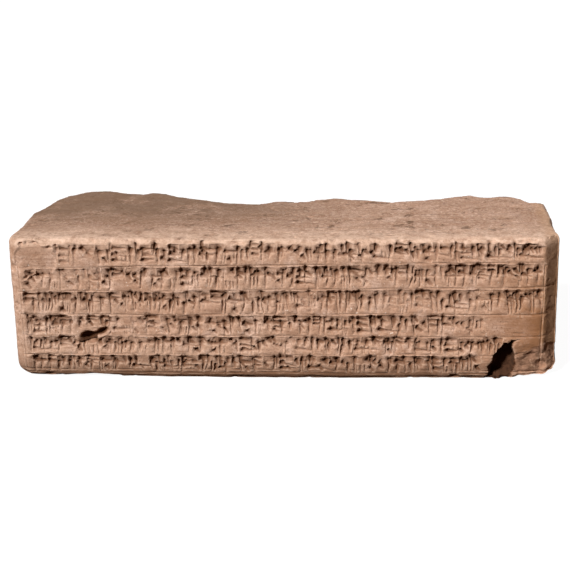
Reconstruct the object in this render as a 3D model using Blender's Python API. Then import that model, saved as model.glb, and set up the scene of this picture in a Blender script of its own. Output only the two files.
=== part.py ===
"""Inscribed fired brick, broken across the back.

One piece of fired clay: the front of a square building brick, at its full length and height.
It lies on its bed with the written edge facing -Y, its length along X and +Z up.
The written edge has six ruled rows of shallow wedge-shaped strokes that spell nothing.
Sizes are in metres.
"""

import math
import random

import bmesh
import bpy
from mathutils import Matrix, Vector, noise

# The brick as it was moulded
LENGTH = 0.370
HEIGHT = 0.101
END_ARRIS = 0.009
TOP_ARRIS = 0.005
TOP_END_ARRIS = 0.004
BED_ARRIS = 0.003
BED_END_ARRIS = 0.010
BED_WEAR = 0.0024
# The upright corner at the right end, which is flattened across instead of rounded
WORN_CORNER_WIDTH = 0.0103
WORN_CORNER_DEPTH = 0.0120
WORN_CORNER_ARRIS = 0.0030
ARRIS_STEPS = 3

# The struck top, which sags towards the written edge and dips in the middle
TOP_COLUMNS = 18
TOP_ROWS = 7
LIP_DROP = 0.0012
LIP_REACH = 0.040
DIP = 0.0012
RIPPLE = 0.0008
RIPPLE_SPACING = 0.055

# The break: how far the clay still reaches behind the written edge
DEPTH = 0.136
BREAK_COLUMNS = 68
BREAK_ROWS = 8
BREAK_LEAN = 0.010
BREAK_LUMP = 0.008
BREAK_LUMP_SPACING = 0.030
BREAK_CRUMB = 0.0035
BREAK_CRUMB_SPACING = 0.013
# Where in the noise the crumbs start, so that they don't follow the lumps
BREAK_CRUMB_SHIFT = Vector((0, 77, 0))
OVERCUT = 0.012
# Each point is a share of the length from the left end, and a share of DEPTH
BREAK_LINE = (
    (0.000, 0.52),
    (0.014, 0.62),
    (0.024, 0.82),
    (0.044, 0.915),
    (0.066, 0.965),
    (0.086, 1.00),
    (0.129, 0.99),
    (0.166, 0.93),
    (0.200, 0.91),
    (0.216, 0.945),
    (0.240, 0.94),
    (0.273, 0.875),
    (0.326, 0.795),
    (0.375, 0.735),
    (0.440, 0.72),
    (0.480, 0.775),
    (0.510, 0.75),
    (0.535, 0.765),
    (0.550, 0.81),
    (0.600, 0.835),
    (0.623, 0.79),
    (0.655, 0.79),
    (0.703, 0.74),
    (0.741, 0.78),
    (0.795, 0.80),
    (0.834, 0.85),
    (0.863, 0.875),
    (0.883, 0.805),
    (0.930, 0.855),
    (0.954, 0.80),
    (0.972, 0.70),
    (0.987, 0.715),
    (1.000, 0.65),
)

# The ruled lines, as the shares of the height at which each starts on the left and ends on the right
RULINGS = (
    (0.956, 0.955),
    (0.782, 0.829),
    (0.618, 0.652),
    (0.459, 0.465),
    (0.306, 0.309),
    (0.173, 0.180),
    (0.045, 0.043),
)
RULING_WIDTH = 0.0011
RULING_DEPTH = 0.0006
LEFT_MARGIN = 0.0075
RIGHT_MARGIN = 0.0090
MARGIN_LEAN = 0.0015

# The strokes: a broad head pressed deep and a thin tail drawn out of it
HEAD_WIDTH = 0.0033
HEAD_LENGTH = 0.0040
HEAD_DEPTH = 0.0021
TAIL_WIDTH = 0.0013
TAIL_DEPTH = 0.0009
HOOK_LENGTH = 0.0046
STANDOFF = 0.0004
SIGN_WIDTH = 0.0182
SIGN_WIDTH_SPREAD = 0.25
SIGN_GAP = 0.0016
STROKE_JITTER = 0.0005
STROKE_TURN = math.radians(5)
DOWN = math.radians(-90)
ACROSS = math.radians(-3)
SLANT = math.radians(-42)
WRITING_SEED = 7
# Where the writing in each row starts and stops, as shares of the length from the left end
ROW_SPANS = (
    (0.085, 0.970),
    (0.030, 0.970),
    (0.024, 0.970),
    (0.028, 0.866),
    (0.032, 0.905),
    (0.036, 0.872),
)

# The damage, each a lumpy hollow: centre as shares of the length, of DEPTH and of the height, then its radii
CORNER_SCAR = ((0.952, -0.050, 0.045), (0.0270, 0.0125, 0.0190))
SCAR_HOLLOW = ((0.905, -0.010, 0.125), (0.0168, 0.0118, 0.0078))
SCAR_SLIT = ((0.922, -0.008, 0.262), (0.0100, 0.0048, 0.0026))
LEFT_PIT = ((0.150, -0.004, 0.325), (0.0118, 0.0056, 0.0036))
END_CHIP = ((1.003, 0.250, 0.990), (0.0042, 0.0220, 0.0060))
BED_CHIP = ((0.143, 0.000, 0.000), (0.0220, 0.0080, 0.0030))
PIT_TURN = math.radians(16)
HOLLOW_TURN = math.radians(65)
SLIT_TURN = math.radians(52)
LUMPS = 0.22
LUMP_SPACING = 0.55
# How many steps of noise one length of the brick is, so that hollows of other sizes get other lumps
LUMP_SHIFT = 37

SMALL = 1e-6
CLAY_COLOUR = (0.462, 0.279, 0.186, 1.0)
CLAY_ROUGHNESS = 0.92


def clear_scene():
    for thing in list(bpy.data.objects):
        bpy.data.objects.remove(thing, do_unlink=True)


def fired_clay():
    material = bpy.data.materials.new("fired_clay")
    material.use_nodes = True
    shader = material.node_tree.nodes["Principled BSDF"]
    shader.inputs["Base Color"].default_value = CLAY_COLOUR
    shader.inputs["Roughness"].default_value = CLAY_ROUGHNESS
    shader.inputs["Metallic"].default_value = 0.0
    return material


def made_object(name, bm, parent):
    """A new object under parent that holds bm, with its faces pointing out."""
    bmesh.ops.recalc_face_normals(bm, faces=bm.faces[:])
    mesh = bpy.data.meshes.new(name)
    bm.to_mesh(mesh)
    bm.free()
    made = bpy.data.objects.new(name, mesh)
    made.parent = parent
    bpy.context.scene.collection.objects.link(made)
    return made


def line_at(points, share):
    """The value at share of the broken line through points, each (share, value)."""
    for (start, first), (end, second) in zip(points, points[1:]):
        if share <= end:
            part = max(0.0, (share - start) / (end - start))
            return first + (second - first) * part
    return points[-1][1]


def top_drop(x, y):
    """How far the struck top lies below HEIGHT at a point of the brick."""
    towards_lip = max(0.0, 1 - y / LIP_REACH)
    middle = math.cos(math.pi * max(-0.5, min(0.5, x / LENGTH - 0.02))) ** 2
    ripple = noise.noise(Vector((x, y, 0)) / RIPPLE_SPACING)
    return LIP_DROP * towards_lip**2 + DIP * middle + RIPPLE * (0.5 + 0.5 * ripple)


def break_reach(x, z):
    """How far behind the written edge the clay is broken off, at a point of the break."""
    below = max(0.0, 1 - z / HEIGHT)
    outline = DEPTH * line_at(BREAK_LINE, x / LENGTH + 0.5)
    lump = 0.5 + 0.5 * noise.noise(Vector((x, 0, z)) / BREAK_LUMP_SPACING)
    crumb = 0.5 + 0.5 * noise.noise(Vector((x, 0, z)) / BREAK_CRUMB_SPACING + BREAK_CRUMB_SHIFT)
    under_edge = min(1.0, 4 * below)
    return outline - BREAK_LEAN * below - BREAK_LUMP * lump * under_edge - BREAK_CRUMB * crumb * under_edge


def arris_radius(edge):
    """The radius that a moulded brick's edge is rounded to, from where the edge runs."""
    start, end = (v.co for v in edge.verts)
    middle = (start + end) / 2
    run = end - start
    upright = abs(run.z) > HEIGHT / 4
    at_end = abs(abs(middle.x) - LENGTH / 2) < SMALL
    at_worn_corner = middle.x > LENGTH / 2 - WORN_CORNER_WIDTH - SMALL and middle.y < WORN_CORNER_DEPTH + SMALL
    at_front = abs(middle.y) < SMALL or (at_worn_corner and not at_end)
    at_bed = middle.z < HEIGHT / 2 and not upright
    at_top = middle.z > HEIGHT / 2 and not upright
    if at_worn_corner and upright:
        return WORN_CORNER_ARRIS
    if at_end and at_front:
        return END_ARRIS
    if at_end and at_top:
        return TOP_END_ARRIS
    if at_end and at_bed:
        return BED_END_ARRIS
    if at_front and at_top:
        return TOP_ARRIS
    if at_front and at_bed:
        return BED_ARRIS
    return 0.0


def moulded_brick(parent):
    """The whole front of the brick before it broke, with its written face at y = 0."""
    block_depth = DEPTH + OVERCUT
    bm = bmesh.new()
    to_size = Matrix.Diagonal((LENGTH, block_depth, HEIGHT, 1))
    to_place = Matrix.Translation((0, block_depth / 2, HEIGHT / 2))
    bmesh.ops.create_cube(bm, size=1, matrix=to_place @ to_size)
    for column in range(1, TOP_COLUMNS):
        cut = (LENGTH * (column / TOP_COLUMNS - 0.5), 0, 0)
        bmesh.ops.bisect_plane(bm, geom=bm.verts[:] + bm.edges[:] + bm.faces[:], plane_co=cut, plane_no=(1, 0, 0))
    worn = (LENGTH / 2 - WORN_CORNER_WIDTH, 0, 0)
    bmesh.ops.bisect_plane(bm, geom=bm.verts[:] + bm.edges[:] + bm.faces[:], plane_co=worn, plane_no=(1, 0, 0))
    for row in range(1, TOP_ROWS):
        cut = (0, block_depth * row / TOP_ROWS, 0)
        bmesh.ops.bisect_plane(bm, geom=bm.verts[:] + bm.edges[:] + bm.faces[:], plane_co=cut, plane_no=(0, 1, 0))
    for vertex in bm.verts:
        if vertex.co.z > HEIGHT / 2:
            vertex.co.z -= top_drop(vertex.co.x, vertex.co.y)
        elif vertex.co.y < SMALL:
            vertex.co.z += BED_WEAR * (2 * vertex.co.x / LENGTH) ** 2
        if vertex.co.x > LENGTH / 2 - SMALL and vertex.co.y < SMALL:
            vertex.co.y = WORN_CORNER_DEPTH
    largest = max(END_ARRIS, TOP_ARRIS, TOP_END_ARRIS, BED_ARRIS, BED_END_ARRIS)
    weight = bm.edges.layers.float.new("bevel_weight_edge")
    for edge in bm.edges:
        on_corner = len(edge.link_faces) == 2 and edge.calc_face_angle() > math.radians(35)
        edge[weight] = arris_radius(edge) / largest if on_corner else 0.0
    brick = made_object("brick", bm, parent)
    arrises = brick.modifiers.new("rounded arrises", "BEVEL")
    arrises.limit_method = "WEIGHT"
    arrises.width = largest
    arrises.segments = ARRIS_STEPS
    arrises.use_clamp_overlap = True
    return brick


def break_cutter(parent):
    """All that is lost behind the break, as one body."""
    bm = bmesh.new()
    bmesh.ops.create_grid(bm, x_segments=BREAK_COLUMNS, y_segments=BREAK_ROWS, size=0.5)
    for vertex in bm.verts:
        x = vertex.co.x * (LENGTH + 2 * OVERCUT)
        z = HEIGHT / 2 + vertex.co.y * (HEIGHT + 2 * OVERCUT)
        vertex.co = (x, break_reach(x, z), z)
    behind = bmesh.ops.extrude_face_region(bm, geom=bm.faces[:])["geom"]
    for element in behind:
        if isinstance(element, bmesh.types.BMVert):
            element.co.y = DEPTH + 3 * OVERCUT
    return made_object("break_cutter", bm, parent)


def lump_cutter(name, hollow, turn, parent):
    """A rough ball that takes a hollow out of the clay. Turn is its lean in the plane of the written face."""
    (along, behind, up), radii = hollow
    bm = bmesh.new()
    bmesh.ops.create_icosphere(bm, subdivisions=3, radius=1)
    shift = Vector(radii) / LENGTH * LUMP_SHIFT
    for vertex in bm.verts:
        swell = noise.noise(vertex.co / LUMP_SPACING + shift)
        vertex.co *= 1 + LUMPS * swell
    centre = Vector((LENGTH * (along - 0.5), DEPTH * behind, HEIGHT * up))
    turned = Matrix.Rotation(-turn, 4, "Y")
    bmesh.ops.transform(bm, matrix=Matrix.Translation(centre) @ turned @ Matrix.Diagonal((*radii, 1)), verts=bm.verts)
    return made_object(name, bm, parent)


def on_face(x, z, heading):
    """The matrix that lays a stroke on the written face: its length along heading, its depth into the clay."""
    along = Vector((math.cos(heading), 0, math.sin(heading)))
    into = Vector((0, 1, 0))
    across = into.cross(along)
    turn = Matrix((along, across, into)).transposed().to_4x4()
    return Matrix.Translation((x, 0, z)) @ turn


def add_groove(bm, place, length):
    """A ruled line's cutter: a three-sided bar with its keel in the clay."""
    rim = RULING_WIDTH / 2 * (1 + STANDOFF / RULING_DEPTH)
    ends = []
    for u in (0, length):
        corners = ((u, -rim, -STANDOFF), (u, rim, -STANDOFF), (u, 0, RULING_DEPTH))
        ends.append([bm.verts.new(place @ Vector(corner)) for corner in corners])
    bm.faces.new(ends[0])
    bm.faces.new(reversed(ends[1]))
    for i in range(3):
        j = (i + 1) % 3
        bm.faces.new((ends[0][i], ends[1][i], ends[1][j], ends[0][j]))


def add_hook(bm, place, length, width, depth):
    """A short stroke's cutter: one deep point under a triangle."""
    rim = 1 + STANDOFF / depth
    corners = (
        (0, -width / 2 * rim, -STANDOFF),
        (0, width / 2 * rim, -STANDOFF),
        (length, 0, -STANDOFF),
        (length * 0.30, 0, depth),
    )
    left, right, tip, deep = (bm.verts.new(place @ Vector(corner)) for corner in corners)
    for face in ((left, right, tip), (right, left, deep), (tip, right, deep), (left, tip, deep)):
        bm.faces.new(face)


def add_nail(bm, place, length, width, depth):
    """A long stroke's cutter: a head as in a hook, and a tail that thins and rises to the tip."""
    rim = 1 + STANDOFF / depth
    tail_rim = TAIL_WIDTH / 2 * (1 + STANDOFF / TAIL_DEPTH)
    corners = (
        (0, -width / 2 * rim, -STANDOFF),
        (0, width / 2 * rim, -STANDOFF),
        (HEAD_LENGTH, tail_rim, -STANDOFF),
        (length, 0, -STANDOFF),
        (HEAD_LENGTH, -tail_rim, -STANDOFF),
        (HEAD_LENGTH * 0.35, 0, depth),
        (HEAD_LENGTH, 0, TAIL_DEPTH),
    )
    left, right, neck, tip, other_neck, deep, keel = (bm.verts.new(place @ Vector(corner)) for corner in corners)
    bm.faces.new((left, right, neck, tip, other_neck))
    bm.faces.new((right, left, deep))
    bm.faces.new((neck, right, deep, keel))
    bm.faces.new((left, other_neck, keel, deep))
    bm.faces.new((tip, neck, keel))
    bm.faces.new((other_neck, tip, keel))


def fence(dice):
    count = dice.choice((2, 3))
    rail = dice.uniform(0.34, 0.52)
    return [(0.02, rail, ACROSS, 0.94)] + [((i + 0.7) / count * 0.9, 0.07, DOWN, 0.84) for i in range(count)]


def ladder(dice):
    rungs = [(0.24, v, ACROSS, 0.58) for v in (0.24, 0.50, 0.76)[: dice.choice((2, 3))]]
    return [(0.10, 0.07, DOWN, 0.82), *rungs, (0.92, 0.05, DOWN, 0.86)]


def comb(dice):
    teeth = dice.choice((2, 3))
    return [(0.18 + 0.64 * i / (teeth - 1), 0.08, DOWN, 0.46) for i in range(teeth)] + [(0.04, 0.70, ACROSS, 0.88)]


def hooks(dice):
    count = dice.choice((2, 3))
    return [(0.10 + 0.24 * i, 0.20 + 0.18 * i, SLANT, 0) for i in range(count)] + [(0.84, 0.06, DOWN, 0.85)]


def crossed(dice):
    rail = dice.uniform(0.30, 0.44)
    return [(0.03, rail, ACROSS, 0.90), (0.52, 0.06, DOWN, 0.86), (0.18, rail + 0.30, SLANT, 0)]


SIGNS = (fence, ladder, comb, hooks, crossed)


def row_edges(row, x):
    """The heights of the ruled lines above and below a row, at x."""
    share = x / LENGTH + 0.5
    return [HEIGHT * (left + (right - left) * share) for left, right in RULINGS[row : row + 2]]


def strokes_of_row(row):
    """Each stroke of a row as (x, z, heading, length). A length of 0 is a hook."""
    dice = random.Random(WRITING_SEED * 100 + row)
    start, stop = (LENGTH * (share - 0.5) for share in ROW_SPANS[row])
    x = start
    while True:
        width = SIGN_WIDTH * (1 + SIGN_WIDTH_SPREAD * dice.uniform(-1, 1))
        if x + width > stop:
            return
        top, bottom = row_edges(row, x + width / 2)
        for u, v, heading, reach in dice.choice(SIGNS)(dice):
            room = top - bottom if heading == DOWN else width
            yield (
                x + u * width + STROKE_JITTER * dice.uniform(-1, 1),
                top - v * (top - bottom) + STROKE_JITTER * dice.uniform(-1, 1),
                heading + STROKE_TURN * dice.uniform(-1, 1),
                reach * room,
            )
        x += width + SIGN_GAP


def writing_cutter(parent):
    """Every stroke of the six rows."""
    bm = bmesh.new()
    for row in range(len(RULINGS) - 1):
        dice = random.Random(row)
        for x, z, heading, length in strokes_of_row(row):
            width = HEAD_WIDTH * dice.uniform(0.85, 1.15)
            depth = HEAD_DEPTH * dice.uniform(0.80, 1.15)
            place = on_face(x, z, heading)
            if length > 1.4 * HEAD_LENGTH:
                add_nail(bm, place, length, width, depth)
            else:
                add_hook(bm, place, HOOK_LENGTH, width, depth)
    return made_object("writing_cutter", bm, parent)


def ruling_cutter(parent):
    """The ruled lines between the rows and the upright line down each margin."""
    bm = bmesh.new()
    left, right = LEFT_MARGIN - LENGTH / 2, LENGTH / 2 - RIGHT_MARGIN
    for start, end in RULINGS:
        first, last = Vector((left, 0, HEIGHT * start)), Vector((right, 0, HEIGHT * end))
        run = last - first
        add_groove(bm, on_face(first.x, first.z, math.atan2(run.z, run.x)), run.length)
    for x in (left, right):
        highest, lowest = HEIGHT * RULINGS[1][0], HEIGHT * RULINGS[-1][0]
        heading = math.atan2(lowest - highest, MARGIN_LEAN * (1 if x < 0 else -1))
        add_groove(bm, on_face(x, highest, heading), highest - lowest)
    return made_object("ruling_cutter", bm, parent)


def cut(brick, cutter, crossing=False):
    """Takes cutter out of the brick. Crossing says that the cutter's own bars run through each other."""
    cutter.hide_render = True
    cutter.display_type = "WIRE"
    taken = brick.modifiers.new(f"without {cutter.name}", "BOOLEAN")
    taken.operation = "DIFFERENCE"
    taken.solver = "EXACT"
    taken.use_self = crossing
    taken.object = cutter


def centre_on_footprint(brick, origin):
    """Moves the origin's empty so that the finished brick stands at the middle of its own footprint."""
    bpy.context.view_layer.update()
    finished = brick.evaluated_get(bpy.context.evaluated_depsgraph_get())
    corners = [Vector(corner) for corner in finished.bound_box]
    for axis in (0, 1):
        places = [corner[axis] for corner in corners]
        origin.location[axis] = -(min(places) + max(places)) / 2


def main():
    clear_scene()
    origin = bpy.data.objects.new("footprint", None)
    bpy.context.scene.collection.objects.link(origin)
    brick = moulded_brick(origin)
    brick.data.materials.append(fired_clay())
    cut(brick, break_cutter(origin))
    cut(brick, lump_cutter("corner_scar_cutter", CORNER_SCAR, 0, origin))
    cut(brick, lump_cutter("scar_hollow_cutter", SCAR_HOLLOW, HOLLOW_TURN, origin))
    cut(brick, lump_cutter("scar_slit_cutter", SCAR_SLIT, SLIT_TURN, origin))
    cut(brick, lump_cutter("left_pit_cutter", LEFT_PIT, PIT_TURN, origin))
    cut(brick, lump_cutter("end_chip_cutter", END_CHIP, 0, origin))
    cut(brick, lump_cutter("bed_chip_cutter", BED_CHIP, 0, origin))
    cut(brick, ruling_cutter(origin), crossing=True)
    cut(brick, writing_cutter(origin), crossing=True)
    centre_on_footprint(brick, origin)


main()
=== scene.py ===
# %% [markdown]
# # A broken brick with writing pressed into its edge
#
# The real object is one lump of fired clay: the front of a square building brick.
# Someone struck its top level with a board, turned it on end while it was still soft,
# ruled lines along the edge and pressed a cut reed into it, stroke by stroke.
# Later the back broke away. Here the strokes spell nothing: they only have the rhythm of writing.
#
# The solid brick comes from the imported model. This lesson turns a copy of it into clay.

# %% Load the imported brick
import math
import random

import bpy
import numpy as np
from mathutils import Matrix, Vector


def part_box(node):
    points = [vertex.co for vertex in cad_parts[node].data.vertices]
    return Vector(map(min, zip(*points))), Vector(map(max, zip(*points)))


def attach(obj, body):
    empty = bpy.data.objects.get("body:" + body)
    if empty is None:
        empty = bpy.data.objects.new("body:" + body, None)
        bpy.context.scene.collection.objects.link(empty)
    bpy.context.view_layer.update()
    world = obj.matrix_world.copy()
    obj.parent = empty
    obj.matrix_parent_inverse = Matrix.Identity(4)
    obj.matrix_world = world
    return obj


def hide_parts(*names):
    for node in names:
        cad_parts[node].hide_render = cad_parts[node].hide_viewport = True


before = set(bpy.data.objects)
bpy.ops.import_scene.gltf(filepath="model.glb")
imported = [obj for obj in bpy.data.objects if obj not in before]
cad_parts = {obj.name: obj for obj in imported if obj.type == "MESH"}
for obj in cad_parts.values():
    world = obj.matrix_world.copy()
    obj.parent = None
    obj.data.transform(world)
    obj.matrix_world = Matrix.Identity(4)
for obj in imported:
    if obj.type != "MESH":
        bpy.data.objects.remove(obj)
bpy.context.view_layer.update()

low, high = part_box("brick")
print("the solid brick is", [round(1000 * side, 1) for side in high - low], "mm")

# %% [markdown]
# ## Sizes
#
# Clay work is thought of in millimetres, and Blender in metres,
# so one small function turns one into the other.
# Every place on the written face is given as x from its middle and z from the bed, as on the solid brick.

# %% Sizes of the brick


def mm(size):
    """Millimetres as metres."""
    return size / 1000


LENGTH = 370.0
HEIGHT = 101.0
FRONT = low.y
TOP_ARRIS = 5.0
print("the written face lies at y =", round(1000 * FRONT, 1), "mm")

# %% [markdown]
# ## A copy of the solid to work on
#
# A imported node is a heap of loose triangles, and it must not change.
# So it is duplicated, and the copy's doubles are merged, which makes one skin of it.

# %% Copy and weld
bpy.ops.object.select_all(action="DESELECT")
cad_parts["brick"].select_set(True)
bpy.context.view_layer.objects.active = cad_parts["brick"]
bpy.ops.object.duplicate()
brick = bpy.context.active_object
brick.name = "fired_brick"
brick.data.name = "fired_brick"
for word in list(brick.keys()):
    del brick[word]
bpy.ops.object.mode_set(mode="EDIT")
bpy.ops.mesh.select_all(action="SELECT")
bpy.ops.mesh.remove_doubles(threshold=mm(0.001))
bpy.ops.object.mode_set(mode="OBJECT")
print("welded copy:", len(brick.data.vertices), "points")

# %% [markdown]
# ## Reading and moving points
#
# From here on the surface is worked much as a sculptor works it: points are pushed in and out by rule.
# With half a million points that is quick only if they are handled together, as one array.

# %% Helpers for points


def points_of(piece):
    """The points of a piece, in millimetres, one row each."""
    flat = np.empty(len(piece.data.vertices) * 3, np.float32)
    piece.data.vertices.foreach_get("co", flat)
    return flat.reshape(-1, 3) * 1000


def normals_of(piece):
    """The direction that the skin faces at each point."""
    flat = np.empty(len(piece.data.vertices) * 3, np.float32)
    piece.data.vertex_normals.foreach_get("vector", flat)
    return flat.reshape(-1, 3)


def put_points(piece, places):
    """Moves the points of a piece to places in millimetres."""
    piece.data.vertices.foreach_set("co", (places / 1000).astype(np.float32).ravel())
    piece.data.update()


def ramp(value, start, end):
    """0 up to start, 1 from end on, and a smooth rise between."""
    share = np.clip((value - start) / (end - start), 0, 1)
    return share * share * (3 - 2 * share)


least, most = points_of(brick).min(axis=0), points_of(brick).max(axis=0)
print("the copy reaches from", least.round(1), "to", most.round(1))

# %% [markdown]
# ## Noise
#
# Clay is uneven at every scale, from a hand's pressure down to grains of sand.
# Blender has noise for one point at a time. This version looks up the eight random corners
# of the cell round each point and blends them, for all the points at once.

# %% Noise for arrays


def clay_noise(places, spacing, seed):
    """Smooth noise from -1 to 1. Spacing is in millimetres, one number or one for each axis."""
    cells = 40
    corners = np.random.default_rng(seed).random((cells, cells, cells)).astype(np.float32)
    scaled = places / np.asarray(spacing, np.float32)
    cell = np.floor(scaled).astype(np.int32)
    share = scaled - cell
    share = share * share * (3 - 2 * share)
    total = np.zeros(len(places), np.float32)
    for corner in range(8):
        step = np.array([corner & 1, corner >> 1 & 1, corner >> 2 & 1])
        weight = np.prod(np.where(step, share, 1 - share), axis=1)
        x, y, z = ((cell + step) % cells).T
        total += weight * corners[x, y, z]
    return 2 * total - 1


def rough_noise(places, spacing, seed, octaves=3):
    """Noise with finer and weaker noise on top of it."""
    spacing = np.asarray(spacing, np.float32)
    layers = [clay_noise(places + 37 * i, spacing / 2**i, seed + i) / 2**i for i in range(octaves)]
    return sum(layers) / 1.5


sample = rough_noise(points_of(brick), 10, 1)
print("noise runs from", round(float(sample.min()), 2), "to", round(float(sample.max()), 2))

# %% [markdown]
# ## Wiping the written face
#
# The solid carries only the main strokes and the main damage, cut coarsely.
# Both are made again below, finely and with much more in them.
# So first every cut in the face is pushed back flush, apart from the broad scar of the lower corner.
# Each hollow is described by the ellipse that it leaves in the face: x, z, half length, half height
# and its lean in degrees.

# %% Damage on the written face
SCAR = (167.2, 4.5, 27.0, 19.0, 0)
SCAR_TRENCH = (149.9, 12.6, 16.8, 7.8, 65)
SCAR_SLIT = (156.1, 26.5, 10.0, 2.6, 52)
LEFT_PIT = (-129.5, 32.8, 11.8, 3.6, 16)
HOLLOWS = (SCAR, SCAR_TRENCH, SCAR_SLIT, LEFT_PIT)


def along_and_across(x, z, hollow):
    """Places measured along and across a hollow's leaning ellipse, from its middle."""
    centre_x, centre_z, _, _, lean = hollow
    turn = math.radians(lean)
    along = (x - centre_x) * math.cos(turn) + (z - centre_z) * math.sin(turn)
    across = (z - centre_z) * math.cos(turn) - (x - centre_x) * math.sin(turn)
    return along, across


def in_hollow(x, z, hollow, margin):
    """True inside a hollow's ellipse, made larger by a margin in millimetres."""
    along, across = along_and_across(x, z, hollow)
    return (along / (hollow[2] + margin)) ** 2 + (across / (hollow[3] + margin)) ** 2 < 1


def damaged(x, z, margin=0.0):
    """True inside any of the hollows."""
    return np.any([in_hollow(x, z, hollow, margin) for hollow in HOLLOWS], axis=0)


HOLLOW_MARGIN = 3.5
DEEPEST_HOLLOW = 17.0


def torn(places):
    """1 on the raw walls and floors of the hollows in the face, and 0 elsewhere."""
    behind = places[:, 1] - 1000 * FRONT
    near = damaged(places[:, 0], places[:, 2], HOLLOW_MARGIN)
    return near * ramp(behind, 1.2, 2.4) * (behind < DEEPEST_HOLLOW)


print(len(HOLLOWS), "hollows in the written face")

# %% Wipe the strokes away
STROKE_REACH = 2.9
SIDE_RIM = 7.5
FOOT_RIM = 4.2
places = points_of(brick)
behind = places[:, 1] - 1000 * FRONT
x, z = places[:, 0], places[:, 2]
in_panel = (np.abs(x) < LENGTH / 2 - SIDE_RIM) & (z > FOOT_RIM) & (z < HEIGHT - TOP_ARRIS - 1.5)
wiped = in_panel & (behind < STROKE_REACH) & ~damaged(x, z, 1.0)
places[wiped, 1] = 1000 * FRONT
print("wiped", int(wiped.sum()), "points flush with the written face")

# %% [markdown]
# ## The scar alone
#
# A corner that breaks off a brick leaves a dished scar. The solid cuts it with an egg shape,
# so the same egg gives the depth to which the narrow hollows inside it are filled.

# %% Wipe the narrow hollows away
SCAR_FRONT = 6.8
SCAR_REACH = 12.5
HOLLOW_REACH = 14


def scar_floor(x, z):
    """How deep the broad scar is at each place: part of an egg whose middle lies in front of the face."""
    centre_x, centre_z, half_length, half_height, _ = SCAR
    rest = 1 - ((x - centre_x) / half_length) ** 2 - ((z - centre_z) / half_height) ** 2
    return np.maximum(SCAR_REACH * np.sqrt(np.maximum(rest, 0)) - SCAR_FRONT, 0)


narrow = np.any([in_hollow(x, z, hollow, 1.0) for hollow in (SCAR_TRENCH, SCAR_SLIT, LEFT_PIT)], axis=0)
filled = narrow & (behind < HOLLOW_REACH)
places[filled, 1] = 1000 * FRONT + scar_floor(x, z)[filled]
put_points(brick, places)
print("filled", int(filled.sum()), "points of the trench, the slit and the pit")

# %% [markdown]
# ## An even skin
#
# A voxel remesh lays an even net of small squares over the whole brick.
# It also softens the edges by a grain, as years underground do.

# %% Remesh
BASE_GRAIN = 1.0
remesh = brick.modifiers.new("even skin", "REMESH")
remesh.mode = "VOXEL"
remesh.voxel_size = mm(BASE_GRAIN)
bpy.ops.object.modifier_apply(modifier=remesh.name)
print("even skin of", len(brick.data.polygons), "faces")

# %% [markdown]
# ## The worn corner
#
# The upright corner on the right was knocked and rubbed until it had no edge any more.
# Smooth moves each point towards its neighbours. Done often, on a strip only, it wears an edge round.

# %% Round the worn corner on the right
CORNER_STRIP = (167.5, 182.0)
CORNER_REACH = 14
CORNER_ROUNDS = 40
places = points_of(brick)
x = places[:, 0]
in_strip = (x > CORNER_STRIP[0]) & (x < CORNER_STRIP[1]) & (places[:, 1] < 1000 * FRONT + CORNER_REACH)
strip = brick.vertex_groups.new(name="rubbed corner")
strip.add(np.flatnonzero(in_strip).tolist(), 1.0, "REPLACE")
rounding = brick.modifiers.new("rubbed corner", "SMOOTH")
rounding.factor = 0.5
rounding.iterations = CORNER_ROUNDS
rounding.vertex_group = strip.name
bpy.ops.object.modifier_apply(modifier=rounding.name)
print("rounded", int(in_strip.sum()), "points of the corner")

# %% [markdown]
# ## A finer net for the writing
#
# Strokes are a few millimetres wide, so the written face needs a net three times finer.
# The rest stays coarse, so the faces are chosen by where they look.

# %% Refine the written face
FACE_CUTS = 2
places = points_of(brick)
normals = normals_of(brick)
faces_front = (normals[:, 1] < -0.3) & (places[:, 1] < 1000 * FRONT + 12)
corner_points = np.empty(len(brick.data.polygons) * 4, np.int32)
brick.data.polygons.foreach_get("vertices", corner_points)
chosen = faces_front[corner_points.reshape(-1, 4)].all(axis=1)
bpy.ops.object.mode_set(mode="EDIT")
bpy.ops.mesh.select_mode(type="FACE")
bpy.ops.mesh.select_all(action="DESELECT")
bpy.ops.object.mode_set(mode="OBJECT")
brick.data.polygons.foreach_set("select", chosen)
bpy.ops.object.mode_set(mode="EDIT")
bpy.ops.mesh.subdivide(number_cuts=FACE_CUTS)
bpy.ops.object.mode_set(mode="OBJECT")
print(int(chosen.sum()), "faces were refined, which makes", len(brick.data.polygons))

# %% [markdown]
# ## Laying out the rows
#
# The rows are filled as a scribe would fill them, sign by sign from the left.
# A sign here is a small pattern of strokes that occurs in no script, drawn by a seeded dice.
# The first set of strokes repeats the solid's own, with the same dice, so that both are the same brick.

# %% Ruled rows and where the writing runs
# Each ruled line as its height at the left end and at the right end of the face
RULINGS = (
    (96.6, 96.5),
    (79.0, 83.7),
    (62.4, 65.9),
    (46.4, 47.0),
    (30.9, 31.2),
    (17.5, 18.2),
    (4.5, 4.3),
)
# Where the writing of each row starts and stops
ROW_SPANS = (
    (-153.6, 173.9),
    (-173.9, 173.9),
    (-176.1, 173.9),
    (-174.6, 135.4),
    (-173.2, 149.9),
    (-171.7, 137.6),
)
DOWN = math.radians(-90)
ACROSS = math.radians(-3)
SLANT = math.radians(-42)
HEAD_WIDTH = 3.3
HEAD_LENGTH = 5.2
HEAD_DEPTH = 2.1
TAIL_WIDTH = 1.3
TAIL_DEPTH = 0.9
HOOK_LENGTH = 4.6
SIGN_WIDTH = 18.2
SIGN_WIDTH_SPREAD = 0.25
SIGN_GAP = 1.6
STROKE_JITTER = 0.5
STROKE_TURN = math.radians(5)
WRITING_SEED = 7
LATE_START = 4.0


def row_edges(row, x):
    """The heights of the ruled lines above and below a row, at x."""
    share = x / LENGTH + 0.5
    return [left + (right - left) * share for left, right in RULINGS[row : row + 2]]


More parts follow.
